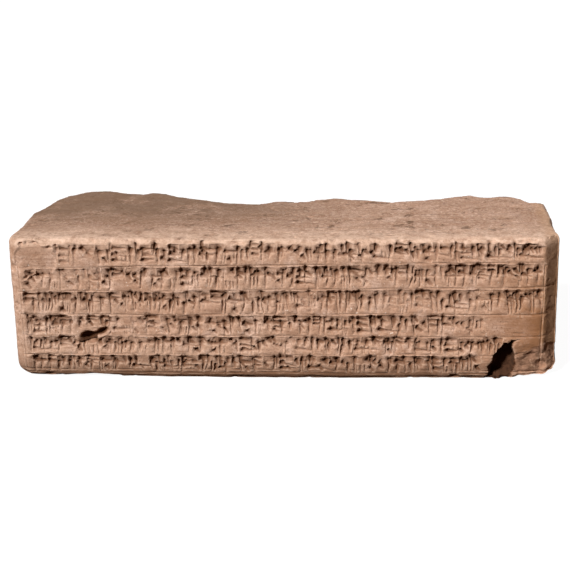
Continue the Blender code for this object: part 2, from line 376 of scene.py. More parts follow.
middle_edges = [row_edges(row, 0) for row in range(len(ROW_SPANS))]
print("row heights in the middle:", [round(upper - lower, 1) for upper, lower in middle_edges])

# %% [markdown]
# ## Signs that spell nothing
#
# Each sign is a list of strokes, given as along, down, heading and reach.
# The first two and the reach are shares of the room that the sign has in its row.

# %% Five kinds of sign


def fence(dice):
    count = dice.choice((2, 3))
    rail = dice.uniform(0.34, 0.52)
    uprights = [((i + 0.7) / count * 0.9, 0.07, DOWN, 0.84) for i in range(count)]
    return [(0.02, rail, ACROSS, 0.94), *uprights]


def ladder(dice):
    rungs = [(0.24, v, ACROSS, 0.58) for v in (0.24, 0.50, 0.76)[: dice.choice((2, 3))]]
    return [(0.10, 0.07, DOWN, 0.82), *rungs, (0.92, 0.05, DOWN, 0.86)]


def comb(dice):
    teeth = dice.choice((2, 3))
    uprights = [(0.18 + 0.64 * i / (teeth - 1), 0.08, DOWN, 0.46) for i in range(teeth)]
    return [*uprights, (0.04, 0.70, ACROSS, 0.88)]


def hooks(dice):
    count = dice.choice((2, 3))
    corner_hooks = [(0.10 + 0.24 * i, 0.20 + 0.18 * i, SLANT, 0) for i in range(count)]
    return [*corner_hooks, (0.84, 0.06, DOWN, 0.85)]


def crossed(dice):
    rail = dice.uniform(0.30, 0.44)
    return [(0.03, rail, ACROSS, 0.90), (0.52, 0.06, DOWN, 0.86), (0.18, rail + 0.30, SLANT, 0)]


SIGNS = (fence, ladder, comb, hooks, crossed)
print(len(SIGNS), "kinds of sign, the first with", len(fence(random.Random(0))), "strokes")

# %% [markdown]
# ## The main strokes
#
# These are the strokes of the solid, each as x, z, heading, length, width and depth.
# Only their sizes are varied more here, because no two strokes of a hand are alike.

# %% The main strokes of a row


def main_strokes(row):
    """The strokes that the solid brick has in this row."""
    dice = random.Random(WRITING_SEED * 100 + row)
    sizes = random.Random(row)
    start, stop = ROW_SPANS[row]
    x = start
    while True:
        sign = SIGN_WIDTH * (1 + SIGN_WIDTH_SPREAD * dice.uniform(-1, 1))
        if x + sign > stop:
            return
        top, bottom = row_edges(row, x + sign / 2)
        for u, v, heading, reach in dice.choice(SIGNS)(dice):
            room = top - bottom if heading == DOWN else sign
            place = x + u * sign + STROKE_JITTER * dice.uniform(-1, 1)
            level = top - v * (top - bottom) + STROKE_JITTER * dice.uniform(-1, 1)
            turned = heading + STROKE_TURN * dice.uniform(-1, 1)
            width = HEAD_WIDTH * sizes.uniform(0.95, 1.50)
            depth = HEAD_DEPTH * sizes.uniform(0.95, 1.55)
            drop = LATE_START * sizes.random() if heading == DOWN else 0
            yield place, level - drop, turned, max(HOOK_LENGTH, reach * room - drop), width, depth
        x += sign + SIGN_GAP


print("the first row has", len(list(main_strokes(0))), "main strokes")

# %% [markdown]
# ## Between the main strokes
#
# A scribe's hand is heavier at the top of a row: most heads are crowded under the upper line,
# and the ground there is trodden down, while the lower half keeps clean square cushions.
# So each row is also walked in short cells. Every cell has a level down to which its ground is sunk,
# and a handful of small strokes of one kind.

# %% Six kinds of small strokes


def posts(dice, level):
    """Uprights side by side, hanging from the line or starting well under it."""
    count = dice.choice((1, 2, 2))
    spans = [(dice.uniform(0.06, 0.48), dice.choice((level, 0.55))) for _ in range(count)]
    return [((i + 0.5) / count, start, DOWN, (reach, 0)) for i, (start, reach) in enumerate(spans)]


def bars(dice, level):
    """Short bars above each other."""
    return [(0.05, level * (0.35 + 0.42 * i), ACROSS, (0, 0.85)) for i in range(dice.choice((2, 3)))]


def corners(dice, level):
    """Corner hooks, one after another."""
    count = dice.choice((1, 2))
    return [(0.05 + 0.42 * i, dice.uniform(0.12, 0.68), SLANT, (0.3, 0.1)) for i in range(count)]


def comb_lines(dice, level):
    """Thin uprights down to the lower line."""
    return [(0.15 + 0.28 * i, level + 0.05, DOWN, (0.92 - level, 0)) for i in range(3)]


def rail(dice, level):
    """One long bar, with a post on it."""
    place, start = dice.uniform(0.3, 0.8), dice.uniform(0.08, 0.3)
    return [(0.0, level, ACROSS, (0, 1.0)), (place, start, DOWN, (0.62, 0))]


def border(dice, level):
    """The long upright that closes a sign, with a small head or none."""
    return [(0.0, dice.uniform(0.03, 0.16), DOWN, (0.84, 0))]


KINDS = (posts, bars, corners, comb_lines, rail)
KIND_WEIGHTS = (34, 14, 22, 10, 20)
print(len(KINDS), "kinds of small strokes, and a border")

# %% Walk each row in cells
STEPS = (4.8, 11.0)
LIP_REACH = 0.17
BORDER_SHARE = 0.55
SMALL_WIDTHS = (2.3, 4.5)
SMALL_DEPTHS = (1.5, 3.5)
THIN_STROKE = (1.4, 1.0)
SINKS = (0.30, 1.30)
SHORTEST_STROKE = 3.2


def cells_of_row(row):
    """Each cell of a row as (start, stop, level, sink, strokes), its strokes as in main_strokes."""
    dice = random.Random(900 + row)
    x, stop = ROW_SPANS[row]
    while x < stop - 4:
        end = min(stop, x + dice.uniform(*STEPS))
        top, bottom = row_edges(row, (x + end) / 2)
        room, width = top - bottom, end - x
        level = dice.uniform(0.36, 0.56)
        kind = dice.choices(KINDS, KIND_WEIGHTS)[0]
        planned = kind(dice, level)
        if dice.random() < BORDER_SHARE:
            planned += border(dice, level)
        small = []
        for u, v, heading, (down_share, along_share) in planned:
            length = max(SHORTEST_STROKE, down_share * room + along_share * width)
            turned = heading + dice.gauss(0, 0.08)
            broad, deep = dice.uniform(*SMALL_WIDTHS), dice.uniform(*SMALL_DEPTHS)
            if kind is comb_lines:
                broad, deep = THIN_STROKE
            if row == 0:
                v -= LIP_REACH * dice.random()
            small.append((x + u * width, top - v * room, turned, length, broad, deep))
        yield x, end, level, dice.uniform(*SINKS), small
        x = end


cells = [list(cells_of_row(row)) for row in range(6)]
strokes = [stroke for row in range(6) for stroke in main_strokes(row)]
strokes += [stroke for row in cells for cell in row for stroke in cell[4]]
print(len(strokes), "strokes in six rows, in", sum(len(row) for row in cells), "cells")

# %% [markdown]
# ## Pressing a stroke
#
# A cut reed leaves a wedge: a broad deep head with a steep back wall, and a thin tail that rises to nothing.
# The clay sinks a little next to the cut, so the ground between strokes looks like small cushions.

# %% The wedge
STEEP_SIDE = 0.66
SOFT_SIDE = 1.34
HEAD_ROUNDING = 0.22
TAIL_SPREAD = 1.55
CUSHION_SINK = 0.38
CUSHION_REACH = 1.6


def wedge(along, across, length, width, depth):
    """How deep a stroke presses at points along and across it, in millimetres."""
    head = min(HEAD_LENGTH, 0.85 * length)
    tail = min(TAIL_SPREAD * TAIL_WIDTH, 0.75 * width)
    in_head = np.clip(along / head, 0, 1)
    in_tail = np.clip((along - head) / max(length - head, 0.5), 0, 1)
    rounded = np.sqrt(np.clip(in_head / HEAD_ROUNDING, 0.04, 1))
    half_head = rounded * (width + (tail - width) * in_head) / 2
    half = np.where(along < head, half_head, tail / 2 * (1 - 0.45 * in_tail))
    half = half * np.where(across > 0, SOFT_SIDE, STEEP_SIDE)
    keel_tail = min(TAIL_SPREAD * TAIL_DEPTH, 0.8 * depth)
    keel_head = depth + (keel_tail - depth) * in_head**0.7
    keel = np.where(along < head, keel_head, keel_tail * (1 - 0.55 * in_tail))
    beyond = np.maximum(along - length, 0)
    outside = np.maximum(np.abs(across) - half, 0) + beyond + np.maximum(-along, 0)
    cut = keel * ramp(along, -0.3, 0.9) * np.clip(1 - np.abs(across) / half, 0, 1) ** 0.75 * (beyond == 0)
    cushion = CUSHION_SINK * keel * np.exp(-((outside / CUSHION_REACH) ** 2))
    return cut + cushion


middle_line = wedge(np.array([1.0, 4.0, 9.0]), np.zeros(3), 12.0, HEAD_WIDTH, HEAD_DEPTH)
print("a stroke's depth 1, 4 and 9 mm along:", middle_line.round(2))

# %% [markdown]
# ## All the strokes at once
#
# Each stroke is worked out only for the points near it, which a sorted list finds quickly.
# Where strokes cross, the deeper one wins, as in clay.

# %% Depth of the strokes
NEAR = 6.5


def pressed_depth(x, z):
    """How deep the writing is at each place of the face."""
    order = np.argsort(x, kind="stable")
    sorted_x, sorted_z = x[order], z[order]
    depth = np.zeros(len(x), np.float32)
    dice = random.Random(11)
    for place, level, heading, length, width, press in strokes:
        bend = dice.uniform(-0.05, 0.05)
        reach_x, reach_z = length * math.cos(heading), length * math.sin(heading)
        first = np.searchsorted(sorted_x, place + min(0, reach_x) - NEAR)
        last = np.searchsorted(sorted_x, place + max(0, reach_x) + NEAR)
        heights = sorted_z[first:last]
        below, above = level + min(0, reach_z) - NEAR, level + max(0, reach_z) + NEAR
        near = first + np.flatnonzero((heights > below) & (heights < above))
        dx, dz = sorted_x[near] - place, sorted_z[near] - level
        along = dx * math.cos(heading) + dz * math.sin(heading)
        across = dz * math.cos(heading) - dx * math.sin(heading)
        across = across - bend * np.maximum(along, 0) ** 2 / length
        depth[near] = np.maximum(depth[near], wedge(along, across, length, width, press))
    unsorted = np.empty_like(depth)
    unsorted[order] = depth
    return unsorted


head_depth = pressed_depth(np.array([strokes[0][0]]), np.array([strokes[0][1] - 1.0]))
print("the first stroke is", round(float(head_depth[0]), 2), "mm deep under its head")

# %% Depth of the trodden ground


def sunk_depth(x, z):
    """How deep the ground is trodden down at each place of the face."""
    depth = np.zeros(len(x), np.float32)
    for row, row_cells in enumerate(cells):
        (top_left, top_right), (bottom_left, bottom_right) = RULINGS[row : row + 2]
        share = x / LENGTH + 0.5
        top = top_left + (top_right - top_left) * share
        down = (top - z) / (top - bottom_left - (bottom_right - bottom_left) * share)
        inside = np.flatnonzero((down > 0) & (down < 1) & (x > row_cells[0][0]) & (x < row_cells[-1][1]))
        starts = np.array([cell[0] for cell in row_cells] + [row_cells[-1][1]])
        levels = np.array([cell[2] for cell in row_cells])
        sinks = np.array([cell[3] for cell in row_cells])
        here, v = x[inside], down[inside]
        which = np.clip(np.searchsorted(starts, here) - 1, 0, len(levels) - 1)
        to_edge = np.minimum(here - starts[which], starts[which + 1] - here)
        level = levels[which]
        fade = ramp(v, 0.02, 0.10) * (1 - ramp(v, level - 0.05, level + 0.02))
        fade *= 0.35 + 0.65 * ramp(to_edge, 0, 0.9)
        depth[inside] = sinks[which] * fade
    return depth


along_row = np.linspace(*ROW_SPANS[1], 50)
mean_sink = float(sunk_depth(along_row, np.full(50, 77.0)).mean())
print("ground in the second row, sunk by", round(mean_sink, 2), "mm")

# %% [markdown]
# ## Ruled lines
#
# The lines were drawn with a string or a thin stick before the writing.
# So they wander a little and fade in places. The lowest one was drawn twice.

# %% Ruled lines
LINE_WIDTH = 0.95
LINE_DEPTH = 0.72
MARGIN_LEFT = -177.5
MARGIN_RIGHT = 174.1
MARGIN_DEPTH = 0.6
LAST_LINE_GAP = 2.4
LINE_END = (181, 184)
ROUNDED_EDGE = (175, 178)


def groove(distance, width, depth):
    """A thin line's depth at a distance from its middle, with soft shoulders."""
    return depth * np.exp(-((distance / (0.55 * width)) ** 2))


def ruled_depth(x, z):
    """How deep the ruled lines are at each place of the face."""
    flat = np.column_stack((x, np.zeros_like(x), np.zeros_like(x)))
    depth = np.zeros(len(x), np.float32)
    share = x / LENGTH + 0.5
    lines = [*RULINGS, tuple(end + LAST_LINE_GAP for end in RULINGS[-1])]
    for i, (left, right) in enumerate(lines):
        wander = 0.45 * clay_noise(flat, 45, 60 + i) + 0.18 * clay_noise(flat, 9, 80 + i)
        strength = np.maximum(0.80 + 0.45 * clay_noise(flat, 22, 100 + i), 0) * (0.4 if i == 0 else 1)
        level = left + (right - left) * share + wander
        reach = ramp(x, MARGIN_LEFT - 3, MARGIN_LEFT + 1) * (1 - 0.7 * ramp(x, *ROUNDED_EDGE))
        reach = reach * (1 - ramp(x, *LINE_END))
        depth = np.maximum(depth, groove(z - level, LINE_WIDTH, LINE_DEPTH * strength) * reach)
    for i, (middle, lean) in enumerate(((MARGIN_LEFT, -0.02), (MARGIN_RIGHT, 0.005))):
        wander = 0.5 * clay_noise(np.column_stack((z, z, z)), 30, 140 + i)
        reach = ramp(z, RULINGS[-1][0], RULINGS[-1][0] + 4) * (1 - ramp(z, RULINGS[1][1] - 4, RULINGS[1][1]))
        off_line = x - middle - lean * (z - 50) - wander
        depth = np.maximum(depth, groove(off_line, LINE_WIDTH, MARGIN_DEPTH * reach))
    return depth


print("a ruled line is", round(groove(0, LINE_WIDTH, LINE_DEPTH), 2), "mm deep in its middle")

# %% [markdown]
# ## Wear
#
# Centuries wore the face thin in patches, and most of all in its middle.
# Wear is a number from 0, rubbed smooth, to 1, as pressed.

# %% Where the writing is worn


def freshness(x, z):
    """How much of the writing's depth is left at each place."""
    flat = np.column_stack((x, np.zeros_like(x), z))
    patchy = 1 - 0.60 * ramp(rough_noise(flat, 26, 7), 0.30, 0.80)
    middle = 1 - 0.45 * np.exp(-(((x - 18) / 14) ** 2 + ((z - 57) / 7) ** 2))
    return patchy * middle


print("left of a stroke in the worn middle:", freshness(np.array([18.0]), np.array([57.0])).round(2)[0])

# %% [markdown]
# ## Pressing the face
#
# Strokes, trodden ground and ruled lines become one depth for each point of the face.
# The points are nudged about first, because no line pressed by hand is drawn with a ruler.

# %% The written face as one depth


def bent(x, z):
    """The face's places, nudged about by a millimetre or less."""
    flat = np.column_stack((x, np.zeros_like(x), z))
    nudge_x = 0.55 * clay_noise(flat, 6, 201) + 0.26 * clay_noise(flat, 2, 202)
    nudge_z = 0.60 * clay_noise(flat, (20, 9, 9), 203) + 0.40 * clay_noise(flat, 4.5, 204)
    return x + nudge_x, z + nudge_z + 0.24 * clay_noise(flat, 1.8, 205)


PRESSURE = 1.15
RIGHT_DEEPER = 0.3


def written_depth(x, z):
    """The strokes and the trodden ground together."""
    bent_x, bent_z = bent(x, z)
    flat = np.column_stack((x, np.zeros_like(x), z))
    uneven = PRESSURE + 0.30 * clay_noise(flat, 3.2, 206) + RIGHT_DEEPER * x / LENGTH
    return (pressed_depth(bent_x, bent_z) * uneven + sunk_depth(bent_x, bent_z)) * freshness(x, z)


print("the middle of the bed moves", bent(np.zeros(1), np.zeros(1))[0].round(2)[0], "mm sideways")

# %% Press everything into the face
places = points_of(brick)
normals = normals_of(brick)
x, z = places[:, 0], places[:, 2]
behind = places[:, 1] - 1000 * FRONT
facing = ramp(-normals[:, 1], 0.20, 0.60) * (behind < 14)
in_panel = (x > 12 - LENGTH / 2) & (x < LENGTH / 2 - 12) & (z > 6) & (z < HEIGHT - TOP_ARRIS - 2)
sound = np.where(in_panel, 1 - ramp(behind, 0.35, 1.1), 1.0) * ~in_hollow(x, z, LEFT_PIT, 1.2)
near_face = facing > 0
writing = np.zeros(len(x), np.float32)
face_x, face_z = x[near_face], z[near_face]
worked = np.maximum(written_depth(face_x, face_z), ruled_depth(face_x, face_z))
writing[near_face] = worked * (facing * sound)[near_face]
places[:, 1] += writing
print("deepest stroke", round(float(writing.max()), 2), "mm")

# %% [markdown]
# ## Damage too fine for the solid
#
# The upper left corner was rubbed until nothing was left of its strokes.
# Chips left the edges, and small pits opened.
# Each dent is an ellipse in the face: x, z, half length, half height, lean in degrees and depth.
# Noise bends its rim, so that none looks punched.

# %% List the damage
RUBBED = (-166.0, 84.5, 15.0, 13.0, -12)
RUBBED_DEPTH = 1.1
DENTS = (
    (-175.3, 95.8, 2.8, 2.3, 8, 2.0),
    (-171.3, 97.4, 2.0, 1.5, -10, 1.3),
    (-166.8, 97.0, 2.6, 1.4, 5, 1.3),
    (-156.5, 93.4, 2.6, 1.7, 20, 1.6),
    (-152.4, 95.2, 1.9, 1.7, 10, 1.4),
    (-168.5, 72.4, 5.5, 1.9, 22, 1.6),
    (-171.0, 73.8, 6.0, 1.5, 28, 1.3),
    (-181.5, 79.0, 3.0, 4.0, 0, 1.5),
    (-132.4, 30.0, 7.0, 5.4, 0, 6.6),
    (-123.4, 34.0, 8.0, 3.2, 20, 4.0),
    (-129.0, 26.0, 9.0, 5.0, 0, 0.9),
    (-161.7, 1.5, 4.6, 3.6, 0, 2.4),
    (-132.0, 1.5, 3.8, 3.0, 0, 2.2),
    (116.0, 1.5, 5.0, 3.6, 0, 2.4),
    (150.5, 23.0, 5.2, 1.8, 55, 1.6),
    (142.5, 12.0, 6.0, 2.6, 56, 1.2),
    (166.0, 19.0, 15.0, 8.5, 0, 1.3),
    (149.0, 0.5, 11.0, 3.0, 0, 2.0),
    (175.0, 10.5, 5.5, 4.5, 60, 2.2),
    (60.0, 99.0, 4.0, 2.2, 5, 1.0),
    (-40.0, 99.5, 3.6, 2.0, 0, 0.9),
    (124.0, 99.0, 3.2, 2.0, -8, 1.0),
)
ROLLED_HEIGHT = 11.0
ROLLED_DEPTH = 2.4
TURNED_START = 157.0
TURNED_END = 176.0
TURNED_DEPTH = 1.7
print(len(DENTS), "dents, the deepest", max(dent[-1] for dent in DENTS), "mm")

# %% Press the damage in
DENT_EDGE = 0.75


def inside(x, z, hollow, soft):
    """1 inside a hollow's ellipse and 0 outside, with an edge that is soft millimetres wide."""
    along, across = along_and_across(x, z, hollow)
    reach = np.sqrt((along / hollow[2]) ** 2 + (across / hollow[3]) ** 2)
    return 1 - ramp(reach, 1 - soft / hollow[3], 1)


ragged = 3.0 * rough_noise(places, 8, 211, 3)
rubbed = inside(x + ragged, z + ragged, RUBBED, 1.6) * facing
rubbed_noise = 0.35 * rough_noise(places, 5, 212, 3) + 0.2 * clay_noise(places, 2, 215)
places[:, 1] += rubbed * (RUBBED_DEPTH + rubbed_noise)
crumbled = 1.7 * rough_noise(places, 4.5, 213, 3)
for *dent, depth in DENTS:
    dent_x, dent_z = x + 0.35 * ragged + 0.45 * crumbled, z - 0.35 * ragged + 0.35 * crumbled
    places[:, 1] += depth * inside(dent_x, dent_z, dent, DENT_EDGE * dent[3]) * facing
rolled = np.clip(1 - z / ROLLED_HEIGHT, 0, 1) ** 1.5 * ramp(-normals[:, 1], 0.0, 0.5) * (behind < 12)
places[:, 1] += ROLLED_DEPTH * rolled

away = np.clip((x - TURNED_START) / (TURNED_END - TURNED_START), 0, 1) ** 2
places[:, 1] += TURNED_DEPTH * away * facing
print("the rubbed corner covers", int((rubbed > 0.5).sum()), "points")

# %% Wear the left end: its rear shoulder is lower, and its foot is rounder
SHOULDER = (-135.0, -185.0)
SHOULDER_DROP = 2.8
FOOT = (-172.0, -185.0)
FOOT_RISE = 3.0
FOOT_HEIGHT = 12.0
on_shoulder = np.clip((x - SHOULDER[0]) / (SHOULDER[1] - SHOULDER[0]), 0, 1) ** 1.5 * ramp(z, 70, 100)
on_foot = np.clip((x - FOOT[0]) / (FOOT[1] - FOOT[0]), 0, 1) ** 2 * np.clip(1 - z / FOOT_HEIGHT, 0, 1)
places[:, 2] += FOOT_RISE * on_foot - SHOULDER_DROP * on_shoulder * ramp(behind, 8, 40)
print("the left foot rises by up to", round(float(FOOT_RISE * on_foot.max()), 1), "mm")

# %% [markdown]
# ## The trench beside the scar
#
# Where the corner broke off, a piece of the core fell out too and left a deep dark trench.
# It is drawn by two bent lines, its left rim and its right wall,
# each as x at a few heights from the bed to the tip.
# Its floor rises to a low sill at the bed, so that the lower edge stays whole.

# %% Dig the trench
TRENCH_LEVELS = (0.0, 3.0, 9.0, 17.8, 26.3, 30.5)
TRENCH_RIM = (134.6, 136.6, 139.0, 142.6, 150.2, 158.2)
TRENCH_WALL = (152.5, 153.8, 156.4, 155.6, 154.0, 158.4)
TRENCH_SLOPE = 2.6
TRENCH_DEPTH = 13.0
TRENCH_FOOT = 1.6
TRENCH_RISE = 2.4


def trench_depth(x, z, crumbs=0.0):
    """How deep the trench is at each place: it falls steeply from the rim and ends at the right wall."""
    off_rim = x + crumbs - np.interp(z, TRENCH_LEVELS, TRENCH_RIM)
    to_wall = np.interp(z, TRENCH_LEVELS, TRENCH_WALL) - x - 0.8 * crumbs
    deepest = np.minimum(TRENCH_DEPTH, TRENCH_FOOT + TRENCH_RISE * np.maximum(z, 0))
    below_tip = z < TRENCH_LEVELS[-1]
    return np.clip(TRENCH_SLOPE * off_rim, 0, deepest) * ramp(to_wall, -1.2, 0.2) * below_tip


dug = trench_depth(x, z - crumbled, 0.5 * ragged + crumbled) * facing
dug += np.where(dug > 1, 0.8 * rough_noise(places, 3.6, 214, 2), 0)
below_scar = 1000 * FRONT + np.maximum(scar_floor(x, z), dug)
places[:, 1] = np.where(dug > 0.3, np.maximum(places[:, 1], below_scar), places[:, 1])
print("the trench is", round(float(dug.max()), 1), "mm deep")

# %% [markdown]
# ## Uneven skin
#
# Every side was made differently, so every side is roughened differently.
# The top was struck with a board along its length, which drags fine furrows and opens small pits.
# The break is raw: coarse, crumbly and full of grit.
# The rest was formed by a mould and is only a little uneven.
# First each point is asked which of these sides it belongs to.

# %% Tell the sides apart
broken = ramp(normals[:, 1], 0.12, 0.45)
on_top = ramp(normals[:, 2], 0.6, 0.9)
scarred = torn(places)
raw = np.maximum(broken, scarred)
under_rim = ramp(HEIGHT - z, 4, 24) * broken
sharpest = np.sort(np.abs(normals), axis=1)[:, 1]
on_arris = ramp(sharpest, 0.25, 0.6)
on_corner = ramp(x, 171, 174) * (np.abs(normals[:, 2]) < 0.35)
print("share on the break:", round(float(broken.mean()), 2), "and on top:", round(float(on_top.mean()), 2))

# %% Roughen the formed sides
hand = 0.35 * rough_noise(places, 38, 21, 2)
skin = 0.24 * rough_noise(places, (8, 4.5, 4.5), 31, 3) + 0.07 * clay_noise(places, (2.4, 1.6, 1.6), 35)
furrows = 0.30 * rough_noise(places, (30, 2.6, 2.6), 41, 2) * np.maximum(on_top, 0.45 * facing)
waves = 0.35 * rough_noise(places, (24, 9, 9), 45, 2) * on_top
pits = -1.1 * ramp(clay_noise(places, (3.0, 2.6, 2.6), 71), 0.66, 0.88) * (0.30 + on_top)
nibbled = -1.9 * on_arris * ramp(rough_noise(places, 10, 91, 3), 0.10, 0.75) * (1 - 0.85 * on_corner)
formed = (hand + skin + waves + furrows + pits + nibbled) * (1 - 0.7 * raw)
print("formed skin moves by", round(float(np.abs(formed).mean()), 3), "mm on average")

# %% Roughen the break, then move the points
BREAK_SLIDE = 6.5
lumps = (2.6 * rough_noise(places, (22, 15, 15), 51, 3) - 1.2) * broken
lumps += (4.2 * rough_noise(places, (36, 30, 25), 58, 2) - 1.4) * under_rim
lumps += 1.2 * rough_noise(places, 9, 54, 3) * scarred
crumble = lumps + rough_noise(places, 3.4, 57, 2) * np.maximum(0.9 * broken, 0.6 * scarred)
moved = formed + crumble
places += normals * moved[:, None]
places[:, 0] += BREAK_SLIDE * rough_noise(places, (70, 60, 30), 59, 2) * under_rim
places[:, 2] = np.maximum(places[:, 2], 0)
put_points(brick, places)
print("moved by", round(float(np.abs(moved).mean()), 3), "mm on average")

# %% [markdown]
# ## Fewer faces where nothing happens
#
# The net is now far finer than the flat parts need. Decimate removes points where the skin is flat
# and keeps them in the strokes, until the brick is light enough to hand on.

# %% Thin the net
MOST_TRIANGLES = 196000
triangles = sum(len(face.vertices) - 2 for face in brick.data.polygons)
thin = brick.modifiers.new("fewer faces", "DECIMATE")
thin.ratio = min(1.0, MOST_TRIANGLES / triangles)
bpy.ops.object.modifier_apply(modifier=thin.name)
bpy.ops.object.shade_smooth()
print("from", triangles, "triangles to", sum(len(face.vertices) - 2 for face in brick.data.polygons))

# %% [markdown]
# ## What the skin remembers
#
# The colour depends on where a point lies: soil and painted shade darken the strokes, the break shows the
# raw core, and edges are rubbed pale, with a painted highlight on them. All three are stored on the points
# as attributes, which the material reads.
# Above 1, the value paints the dark shadow of the deepest hollows.

# %% Store the soil and painted shade of the hollows, and the raw parts


def store(piece, name, values):
    """Keeps one number for each point of a piece under a name."""
    attribute = piece.data.attributes.new(name, "FLOAT", "POINT")
    attribute.data.foreach_set("value", np.asarray(values, np.float32))


places = points_of(brick)
normals = normals_of(brick)
x, z = places[:, 0], places[:, 2]
behind = places[:, 1] - 1000 * FRONT
# Soil and painted shade in the strokes, darker the deeper they are; above 1, painted shadow in the pit and
# the trench.
SOIL_AND_SHADE_MOST = 0.86
PIT_SHADOW = 1.3
TRENCH_SHADOW = 1.6
on_face = (behind < 8) & (z < HEIGHT - 2)
soil_and_shade = np.zeros(len(x), np.float32)
soil_and_shade[on_face] = SOIL_AND_SHADE_MOST * ramp(written_depth(x[on_face], z[on_face]), 0.5, 3.4)
# Painted shadow in the left pit and in the trench.
in_pit = in_hollow(x, z, LEFT_PIT, 1.5) * ramp(behind, 1.2, 3.2) * (behind < 7)
in_trench = ramp(trench_depth(x, z), 0.5, 2.0) * ramp(behind, 0.8, 2.0) * (behind < DEEPEST_HOLLOW)
store(brick, "soil_and_shade", np.maximum(soil_and_shade, np.maximum(PIT_SHADOW * in_pit, TRENCH_SHADOW * in_trench)))
store(brick, "raw", np.maximum(ramp(normals[:, 1], 0.12, 0.45), torn(places)))
print("soil lies on", int((soil_and_shade > 0.1).sum()), "points of the face")

# %% Store the rubbed edges, which also carry a painted highlight


def bulge(piece, places, normals):
    """How far each point stands out from its neighbours, per millimetre. It is above 0 on edges."""
    ends = np.empty(len(piece.data.edges) * 2, np.int32)
    piece.data.edges.foreach_get("vertices", ends)
    first, second = ends.reshape(-1, 2).T
    between_them = places[second] - places[first]
    square = np.maximum((between_them**2).sum(axis=1), 0.04)
    total = np.zeros(len(places), np.float32)
    count = np.zeros(len(places), np.float32)
    for here, way in ((first, between_them), (second, -between_them)):
        sunk = -(way * normals[here]).sum(axis=1) / square
        total += np.bincount(here, sunk, len(places))
        count += np.bincount(here, minlength=len(places))
    return total / np.maximum(count, 1)


standing = bulge(brick, places, normals)
# Rubbed pale edges, partly a painted highlight where the skin stands out.
store(brick, "worn_and_highlit", ramp(standing, 0.04, 0.30))
print("edges stand out by up to", round(float(np.percentile(standing, 99)), 2), "per mm")

# %% [markdown]
# ## Fired clay
#
# Fired clay is a rough, thirsty surface with hardly any gloss. It is reddish brown where it was well fired,
# paler and pinker where it is dusty, and grey brown where soil has settled.
# Its colour changes in broad clouds, in streaks along the brick and in single grains of sand.

# %% Colours


def colour(hex_code):
    """An sRGB colour such as C49A7C as Blender's linear numbers."""
    channels = [int(hex_code[i : i + 2], 16) / 255 for i in (0, 2, 4)]
    linear = [c / 12.92 if c <= 0.04045 else ((c + 0.055) / 1.055) ** 2.4 for c in channels]
    return (*linear, 1.0)


print("half of full brightness is", round(colour("808080")[0], 3), "in linear numbers")

# %% Nodes, patterns and mixes


def add_node(tree, kind, values=None, links=None, **settings):
    """A new node with its settings, socket values by name or number, and links into it."""
    node = tree.nodes.new(kind)
    for name, value in settings.items():
        setattr(node, name, value)
    for name, value in (values or {}).items():
        node.inputs[name].default_value = value
    for name, source in (links or {}).items():
        tree.links.new(source, node.inputs[name])
    return node


def cloud(tree, spot, spacing, detail=4.0, roughness=0.55):
    """A noise pattern whose blotches are spacing millimetres apart, as a socket."""
    values = {"Scale": 1 / mm(spacing), "Detail": detail, "Roughness": roughness}
    return add_node(tree, "ShaderNodeTexNoise", values, {"Vector": spot}).outputs["Fac"]


def between(tree, socket, start, end):
    """Stretches the part of a pattern from start to end over 0 to 1."""
    values = {"From Min": start, "From Max": end}
    return add_node(tree, "ShaderNodeMapRange", values, {"Value": socket}).outputs["Result"]


def blend(tree, share, first, second, mode="MIX"):
    """Mixes two colours, each a socket or a hex code, by a socket or a number."""
    node = add_node(tree, "ShaderNodeMix", data_type="RGBA", blend_type=mode)
    for name, value in ((0, share), (6, first), (7, second)):
        if isinstance(value, str):
            node.inputs[name].default_value = colour(value)
        elif isinstance(value, (int, float)):
            node.inputs[name].default_value = value
        else:
            tree.links.new(value, node.inputs[name])
    return node.outputs[2]


def scale_by(tree, first, second):
    """Multiplies two shares, the first a socket and the second a socket or a number."""
    node = add_node(tree, "ShaderNodeMath", operation="MULTIPLY")
    for name, value in enumerate((first, second)):
        if isinstance(value, float):
            node.inputs[name].default_value = value
        else:
            tree.links.new(value, node.inputs[name])
    return node.outputs[0]


def streaked(tree, spot, share):
    """Places squeezed along the brick, so that a pattern there is drawn out into streaks."""
    return add_node(tree, "ShaderNodeMapping", {"Scale": (share, 1, 1)}, {"Vector": spot}).outputs[0]


def kept(tree, name):
    """A number that was stored on the points."""
    return add_node(tree, "ShaderNodeAttribute", attribute_name=name).outputs["Fac"]


print("soil, raw and worn are kept as", brick.data.attributes["soil_and_shade"].data_type)

# %% [markdown]
# ## Layers of colour
#
# The clay's colours are laid over each other from the widest cloud to the finest grain of sand.
# Each layer is one row: squeeze along the brick (1 is none), spacing in mm, detail, roughness,
# the values of the pattern between which it comes in, strength and colour.

# %% Clouds, streaks and grains
FINE_STREAKS = 0.08
SKIN_LAYERS = (
    (1, 60, 4.0, 0.55, 0.40, 0.66, 1.0, "A8826A"),
    (1, 14, 5.0, 0.70, 0.50, 0.76, 1.0, "D0B2A0"),
    (FINE_STREAKS, 2.2, 5.0, 0.70, 0.48, 0.74, 1.0, "8C6A54"),
    (1, 4.5, 4.0, 0.70, 0.54, 0.74, 1.0, "98745C"),
    (1, 1.6, 3.0, 0.70, 0.40, 0.64, 0.42, "886550"),
    (1, 1.1, 2.0, 0.55, 0.58, 0.74, 1.0, "76563F"),
    (1, 1.7, 2.0, 0.55, 0.68, 0.78, 1.0, "DCCCBD"),
)


